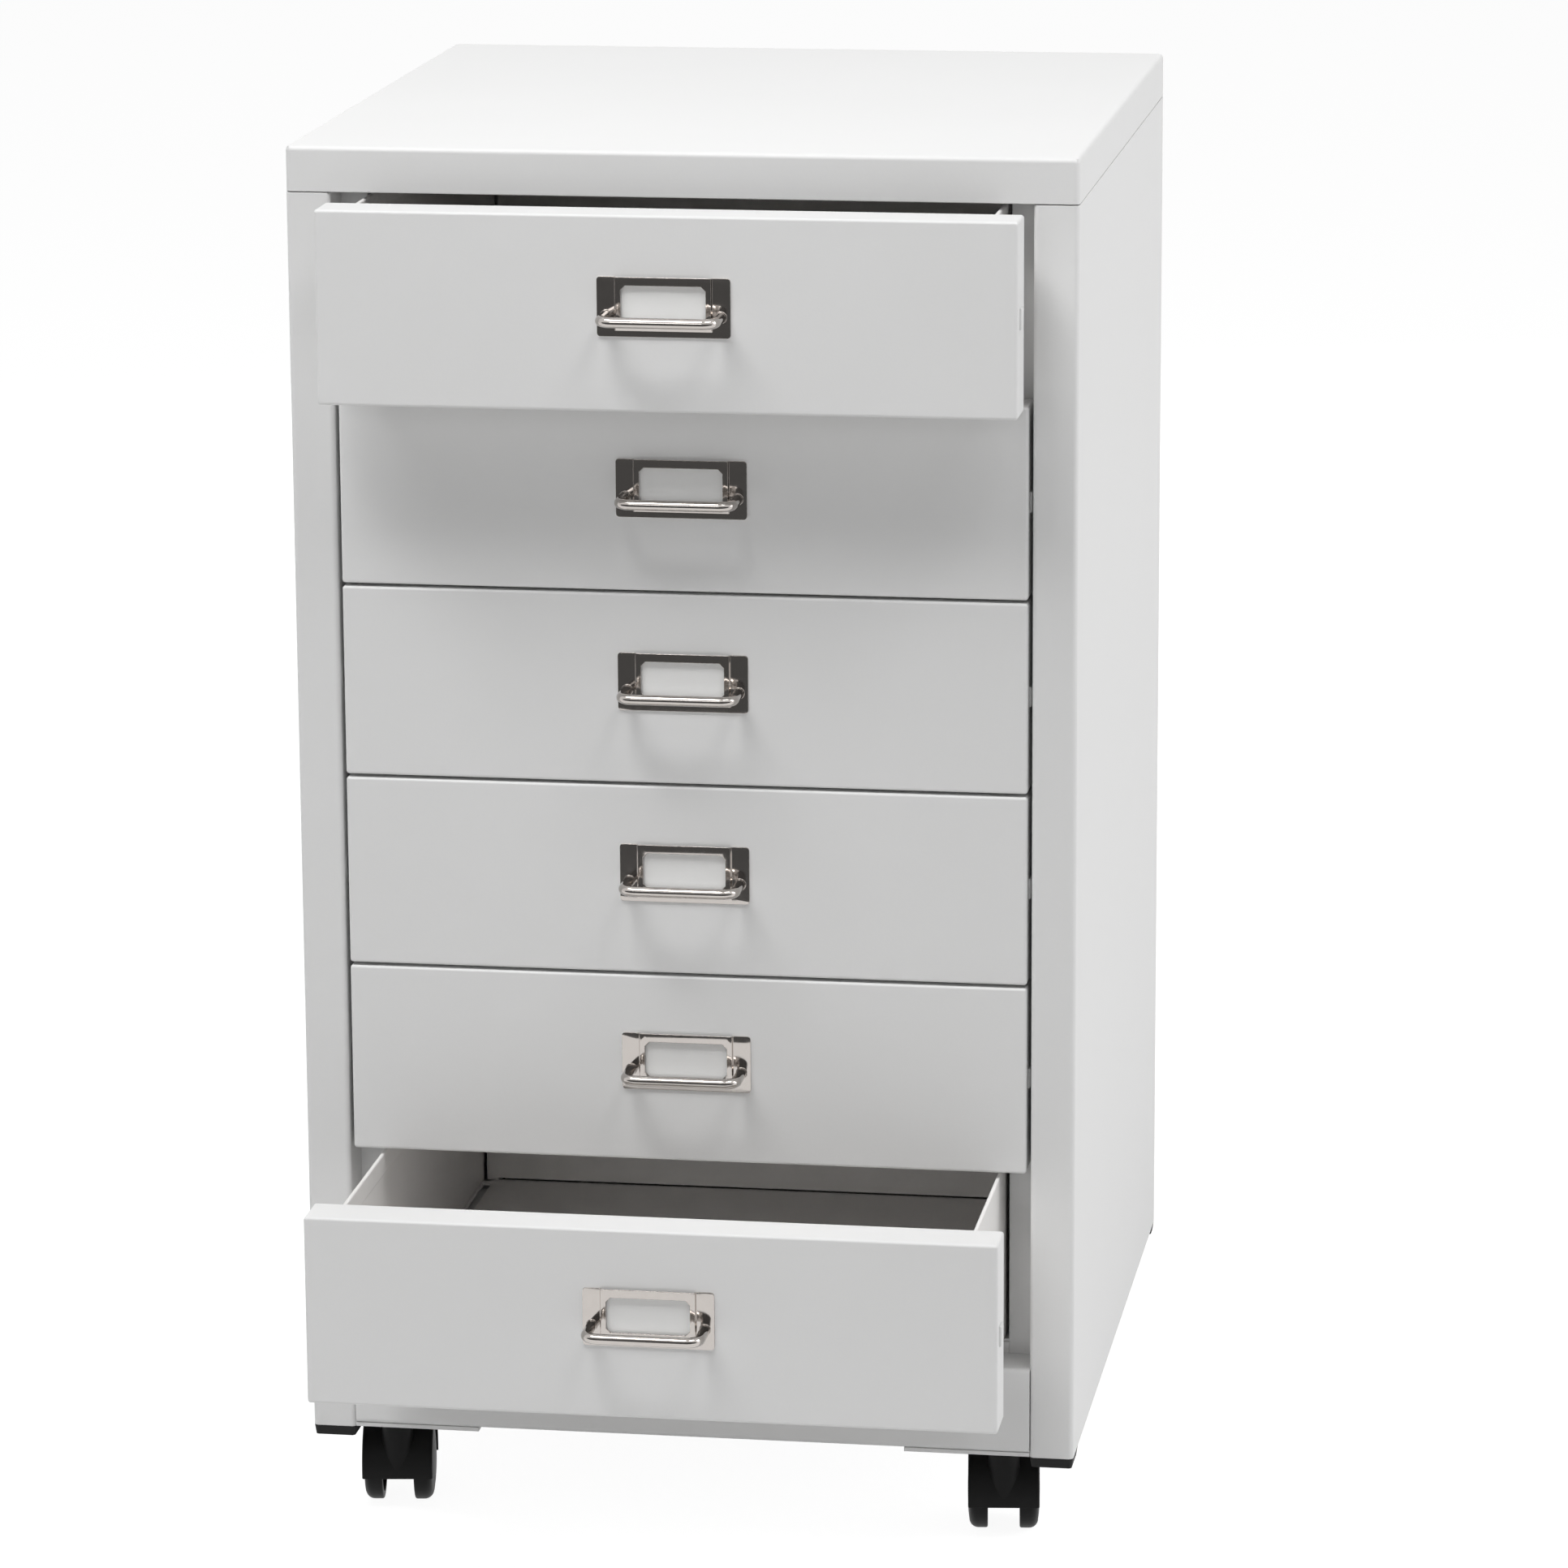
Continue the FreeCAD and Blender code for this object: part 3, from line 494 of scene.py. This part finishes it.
def press_plate():
    low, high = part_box("drawer_1_handle_plate")
    half_wide = (high.x - low.x) / 2
    half_high = (high.z - low.z) / 2
    flat_half = POCKET_HALF - POCKET_FLANK
    flat_low = POCKET_FOOT + FOOT_FLANK - half_high
    window_low = WINDOW_RISE - WINDOW_HEIGHT / 2
    window_high = WINDOW_RISE + WINDOW_HEIGHT / 2
    alone()
    bpy.ops.mesh.primitive_plane_add(size=2.0, location=(0, 0, PLATE_SHEET))
    plate = bpy.context.object
    bpy.ops.object.transform_apply()
    bpy.ops.object.mode_set(mode="EDIT")
    bpy.ops.transform.resize(value=(half_wide, half_high, 1))
    for across in (POCKET_HALF, flat_half, WINDOW_HALF):
        for side in (-across, across):
            bpy.ops.mesh.select_all(action="SELECT")
            bpy.ops.mesh.bisect(plane_co=(side, 0, 0), plane_no=(1, 0, 0))
    for up in (POCKET_FOOT - half_high, flat_low, window_low, window_high):
        bpy.ops.mesh.select_all(action="SELECT")
        bpy.ops.mesh.bisect(plane_co=(0, up, 0), plane_no=(0, 1, 0))
    choose(plate, "FACE", lambda at: abs(at.x) < flat_half and at.y > flat_low)
    bpy.ops.transform.translate(value=(0, 0, POCKET_RAISE))
    choose(plate, "FACE", lambda at: abs(at.x) < WINDOW_HALF and window_low < at.y < window_high)
    bpy.ops.mesh.delete(type="FACE")
    choose(plate, "VERT", lambda at: abs(abs(at.x) - WINDOW_HALF) < HAIR
           and (abs(at.y - window_low) < HAIR or abs(at.y - window_high) < HAIR))
    bpy.ops.mesh.bevel(affect="VERTICES", offset=WINDOW_CUT)
    choose(plate, "VERT", lambda at: abs(at.x) > half_wide - HAIR and abs(at.y) > half_high - HAIR)
    bpy.ops.mesh.bevel(affect="VERTICES", offset=PLATE_CORNER, segments=4)
    bpy.ops.object.mode_set(mode="OBJECT")
    modify(plate, "SOLIDIFY", thickness=PLATE_SHEET, offset=-1, use_even_offset=True)
    soften(plate, PLATE_EDGE, 6, PLATE_ANGLE)
    plate.data.transform(UPRIGHT)
    return plate


plate_model = press_plate()
for n in DRAWERS:
    low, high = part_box(f"drawer_{n}_handle_plate")
    place = Matrix.Translation((0, high.y, (low.z + high.z) / 2))
    plate = copy_to(plate_model, f"drawer_{n}_label_plate", place)
    hand_in(plate, f"drawer_{n}", "chrome", chrome, f"drawer_{n}_handle_plate")
put_away(plate_model)
print("pressed", len(DRAWERS), "label plates of", len(plate.data.polygons), "faces")

# %% [markdown]
# ## Collars on the bail
#
# The bail is a bent rod whose two legs go through the plate. A thin collar sits round each leg and
# hides the hole. It is a ring: a cylinder whose two caps are inset, and bridged to open the bore.

# %% Turn the collars
COLLAR_HALF = 2.9 * MM
COLLAR_BORE = 2.52 * MM
COLLAR_DEPTH = 0.35 * MM
COLLAR_EDGE = 0.1 * MM
HEAD_HALF = 4.0 * MM


def turn_collar():
    alone()
    bpy.ops.mesh.primitive_cylinder_add(vertices=48, radius=COLLAR_HALF, depth=COLLAR_DEPTH)
    collar = bpy.context.object
    choose(collar, "FACE", lambda at: abs(at.z) > COLLAR_DEPTH / 2 - HAIR)
    bpy.ops.mesh.inset(thickness=COLLAR_HALF - COLLAR_BORE)
    bpy.ops.mesh.bridge_edge_loops()
    soften(collar, COLLAR_EDGE, 3)
    collar.data.transform(UPRIGHT)
    return collar


collar_model = turn_collar()
for n in DRAWERS:
    low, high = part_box(f"drawer_{n}_handle_bail")
    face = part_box(f"drawer_{n}_handle_plate")[1].y - PLATE_SHEET - COLLAR_DEPTH / 2
    leg = high.x - HEAD_HALF
    pair = [copy_to(collar_model, "collar", Matrix.Translation((x, face, (low.z + high.z) / 2)))
            for x in (-leg, leg)]
    hand_in(merge(pair, f"drawer_{n}_bail_collars"), f"drawer_{n}", "chrome", chrome)
put_away(collar_model)
print("turned", 2 * len(DRAWERS), "collars,", round(leg / MM, 1), "mm from the middle")

# %% [markdown]
# ## Caster wheels
#
# A twin-wheel caster has two moulded wheels with a full, rounded outer shoulder and a domed face. The
# cylinder below gets a wide bevel on its outer rim and a narrow one inside. Insets then step the cap
# up into a shallow dome, with a fine groove where the hub cap ends. The inner face is hollowed and
# keeps a hub with a blind bore for the axle. Each step of the dome is a width and a rise in mm.

# %% Mould the wheels
WHEEL_HALF = 20.0 * MM
WHEEL_WIDTH = 10.0 * MM
DOME_RISE = 0.8 * MM
SHOULDER = 4.5 * MM
INNER_ROUND = 1.0 * MM
DOME_STEPS = (
    (2.4, 0.34), (2.4, 0.22), (0.35, -0.35), (0.35, 0.35), (2.6, 0.12), (2.6, 0.08), (2.0, 0.04))
RIM_WALL = 2.6 * MM
RIM_HOLLOW = 2.4 * MM
HUB_HALF = 7.0 * MM
BORE_HALF = 3.1 * MM
BORE_DEPTH = 7.6 * MM


def mould_wheel():
    inner = -WHEEL_WIDTH / 2
    rim = WHEEL_WIDTH / 2 - DOME_RISE
    alone()
    bpy.ops.mesh.primitive_cylinder_add(
        vertices=96, radius=WHEEL_HALF, depth=rim - inner, location=(0, 0, (rim + inner) / 2))
    wheel = bpy.context.object
    bpy.ops.object.transform_apply()
    choose(wheel, "EDGE", lambda at: abs(at.z - rim) < HAIR)
    bpy.ops.mesh.bevel(offset=SHOULDER, segments=9)
    choose(wheel, "EDGE", lambda at: abs(at.z - inner) < HAIR)
    bpy.ops.mesh.bevel(offset=INNER_ROUND, segments=4)
    choose(wheel, "FACE", lambda at: abs(at.z - rim) < HAIR and at.xy.length < HAIR)
    for step, rise in DOME_STEPS:
        bpy.ops.mesh.inset(thickness=step * MM, depth=rise * MM)
    choose(wheel, "FACE", lambda at: abs(at.z - inner) < HAIR and at.xy.length < HAIR)
    bpy.ops.mesh.inset(thickness=RIM_WALL)
    bpy.ops.mesh.inset(thickness=INNER_ROUND, depth=-RIM_HOLLOW)
    bpy.ops.mesh.inset(thickness=WHEEL_HALF - RIM_WALL - 3 * INNER_ROUND - HUB_HALF)
    bpy.ops.mesh.inset(thickness=INNER_ROUND, depth=RIM_HOLLOW)
    bpy.ops.mesh.inset(thickness=HUB_HALF - INNER_ROUND - BORE_HALF)
    bpy.ops.mesh.inset(thickness=HAIR, depth=-BORE_DEPTH)
    bpy.ops.object.mode_set(mode="OBJECT")
    bpy.ops.object.shade_smooth_by_angle(angle=SMOOTH_ANGLE)
    return wheel


wheel_model = mould_wheel()
for corner in CORNERS:
    for side, sign in (("left", -1), ("right", 1)):
        name = f"{corner}_{side}_wheel"
        node = f"{corner}_caster_{side}_wheel"
        outward = sign * Vector(joints[f"{corner}_{side}_spin"]["axis"])
        low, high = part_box(node)
        turn = Vector((0, 0, 1)).rotation_difference(outward).to_matrix().to_4x4()
        wheel = copy_to(wheel_model, f"{name}_moulding", Matrix.Translation((low + high) / 2) @ turn)
        hand_in(wheel, name, "black_plastic", caster_plastic, node)
put_away(wheel_model)
print("moulded", 2 * len(CORNERS), "wheels of", len(wheel.data.polygons), "faces")

# %% [markdown]
# ## Spot welds
#
# The back sheet is welded to the rear flanges in a row of spots. A weld leaves a shallow round button
# under the paint: a short cylinder whose rim is let down until hardly any edge is left.

# %% Weld the back
WELD_HALF = 3.0 * MM
WELD_RISE = 0.35 * MM
WELD_STEP = WELD_HALF / 3
WELD_FALL = WELD_RISE * 0.7
WELD_PITCH = 70.0 * MM
WELD_INSET = 9.0 * MM


def weld_button():
    alone()
    bpy.ops.mesh.primitive_cylinder_add(vertices=32, radius=WELD_HALF, depth=2 * WELD_RISE)
    button = bpy.context.object
    choose(button, "FACE", lambda at: at.z > WELD_RISE - HAIR)
    bpy.ops.mesh.inset(thickness=WELD_STEP)
    rim = WELD_HALF - WELD_STEP / 4
    choose(button, "EDGE", lambda at: at.z > WELD_RISE - HAIR and at.xy.length > rim)
    bpy.ops.transform.translate(value=(0, 0, -WELD_FALL))
    bpy.ops.object.mode_set(mode="OBJECT")
    bpy.ops.object.shade_smooth()
    button.data.transform(Matrix.Rotation(-math.pi / 2, 4, "X"))
    return button


weld_model = weld_button()
low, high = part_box("back_panel")
rows = int((high.z - low.z) // WELD_PITCH)
first = (low.z + high.z - (rows - 1) * WELD_PITCH) / 2
welds = [copy_to(weld_model, "weld", Matrix.Translation((x, high.y, first + row * WELD_PITCH)))
         for x in (low.x + WELD_INSET, high.x - WELD_INSET) for row in range(rows)]
hand_in(merge(welds, "back_spot_welds"), "cabinet", "white_paint", white_paint)
put_away(weld_model)
print("welded the back at", 2 * rows, "spots")

# %% [markdown]
# ## Corner welds on the lid
#
# The lid is folded from one sheet, and at each corner, where the folds meet, a pinhole stays open. The
# maker closes it with a drop of weld and grinds it flush. A small block does that here. Its outer edges
# get the lid's own rounding and it lies a hair inside the sheet, so it shows only where the corner is
# open.

# %% Weld the lid's corners
LID_CORNER = 3.0 * MM
LID_BEND = 2.5 * MM
DROP_SIZE = 4.5 * MM


def corner_drop():
    half = DROP_SIZE / 2
    alone()
    bpy.ops.mesh.primitive_cube_add(size=DROP_SIZE, location=(-half, -half, -half))
    drop = bpy.context.object
    bpy.ops.object.transform_apply()
    choose(drop, "EDGE", lambda at: at.x > -HAIR and at.y > -HAIR)
    bpy.ops.mesh.bevel(offset=LID_CORNER, segments=10)
    choose(drop, "EDGE", lambda at: at.z > -HAIR and min(at.x, at.y) > HAIR - DROP_SIZE)
    bpy.ops.mesh.bevel(offset=LID_BEND, segments=8)
    bpy.ops.object.mode_set(mode="OBJECT")
    bpy.ops.object.shade_smooth_by_angle(angle=SMOOTH_ANGLE)
    return drop


drop_model = corner_drop()
low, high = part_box("top_panel")
left, right = low.x + HAIR, high.x - HAIR
front, back = low.y + HAIR, high.y - HAIR
drops = []
for quarter, (x, y) in enumerate(((right, back), (left, back), (left, front), (right, front))):
    turn = Matrix.Rotation(quarter * math.pi / 2, 4, "Z")
    drops.append(copy_to(drop_model, "drop", Matrix.Translation((x, y, high.z - HAIR)) @ turn))
hand_in(merge(drops, "lid_corner_welds"), "cabinet", "white_paint", white_paint)
put_away(drop_model)
print("welded", len(drops), "lid corners")

# %% [markdown]
# ## Studio
#
# The photograph is a bright studio shot on white. The open top drawer shades the whole drawer below it,
# so the light comes steeply from in front and above. The pulls throw a pair of soft shadows, the darker
# one to the right, so there are two lamps above and the left one is the stronger. A weak lamp in front
# fills the fronts and one from the right lifts the side. Another behind lights the back for whoever
# walks round the set, and is kept out of reflections so that it leaves no glare on the lid. The sky
# and the floor look white to the camera and in reflections, but they light the cabinet only a little.

# %% Light the set
SKY_LIGHT = 0.12
FLOOR_GLOW = 1.5
FLOOR_LIFT = 0.62
FLOOR_SIZE = 14.0
FLOOR_GREY = 0.7


def seen_ray(graph):
    """1 for rays that show a surface: straight to the camera, by a reflection or through glass."""
    rays = ("Is Camera Ray", "Is Glossy Ray", "Is Transmission Ray")
    camera_ray, glossy, through = (graph.node("ShaderNodeLightPath", output=ray) for ray in rays)
    any_ray = camera_ray + glossy + through
    return graph.node("ShaderNodeMath", {"operation": "MINIMUM"}, {0: any_ray, 1: 1.0})


def make_sky():
    sky = Graph(bpy.data.worlds.new("studio_sky"))
    seen = seen_ray(sky)
    light = sky.node("ShaderNodeBackground", sockets={
        "Color": grey(1.0), "Strength": seen + (1 - seen) * SKY_LIGHT})
    return sky.end("ShaderNodeOutputWorld", light)


def floor_finish():
    paper = new_material("studio_floor")
    matt = paper.node("ShaderNodeBsdfDiffuse", sockets={"Color": grey(FLOOR_GREY)})
    glow = paper.node("ShaderNodeEmission", sockets={"Color": grey(1.0), "Strength": FLOOR_GLOW})
    lift = seen_ray(paper) * FLOOR_LIFT
    both = paper.node("ShaderNodeMixShader", sockets={0: lift, 1: matt, 2: glow})
    return paper.end("ShaderNodeOutputMaterial", both)


def soft_lamp(name, at, target, width, depth, watts):
    bpy.ops.object.light_add(type="AREA", location=at)
    lamp = bpy.context.object
    lamp.name = name
    lamp.data.shape = "RECTANGLE"
    lamp.data.size = width
    lamp.data.size_y = depth
    lamp.data.energy = watts
    lamp.rotation_euler = (Vector(target) - Vector(at)).to_track_quat("-Z", "Y").to_euler()
    return lamp


scene.world = make_sky()
alone()
bpy.ops.mesh.primitive_plane_add(size=FLOOR_SIZE)
floor = bpy.context.object
floor.name = "studio_floor"
dress(floor, floor_finish())
BODY_MIDDLE = (0.0, 0.07, 0.36)
soft_lamp("top_left_lamp", (-0.9, -1.1, 2.9), BODY_MIDDLE, 1.9, 0.6, 51.5)
soft_lamp("top_right_lamp", (1.2, -1.0, 2.9), BODY_MIDDLE, 1.4, 0.6, 18.5)
soft_lamp("front_lamp", (-0.5, -3.2, 1.3), BODY_MIDDLE, 1.2, 1.2, 10.5)
soft_lamp("right_lamp", (2.6, 0.2, 1.5), BODY_MIDDLE, 1.6, 1.6, 30)
rear_lamp = soft_lamp("rear_lamp", (-0.9, 3.0, 0.9), BODY_MIDDLE, 1.4, 1.4, 20)
rear_lamp.visible_glossy = False

# %% [markdown]
# ## A dark card for the chrome
#
# On a white set chrome would be white too. In the photograph the upper plates mirror something dark
# that stands in front of the set, and the lower ones mirror the white floor before it. A dark card
# there does the same. Only reflections see it: it casts no shadow and takes no light from the cabinet.

# %% Stand the dark card in front
CARD_AT = -1.2
CARD_WIDTH = 5.0
CARD_HEIGHT = 0.85
CARD_LEVEL = 0.11


def card_finish():
    card = new_material("studio_dark_card")
    glow = card.node("ShaderNodeEmission", sockets={"Color": grey(1.0), "Strength": CARD_LEVEL})
    return card.end("ShaderNodeOutputMaterial", glow)


alone()
bpy.ops.mesh.primitive_plane_add(
    size=1.0, location=(0, CARD_AT, CARD_HEIGHT / 2), rotation=(math.pi / 2, 0, 0))
dark_card = bpy.context.object
dark_card.name = "studio_dark_card"
dark_card.scale = (CARD_WIDTH, CARD_HEIGHT, 1)
dress(dark_card, card_finish())
dark_card.visible_camera = False
dark_card.visible_diffuse = False
dark_card.visible_shadow = False
dark_card.visible_transmission = False
print("dark card stands", abs(CARD_AT), "m in front")
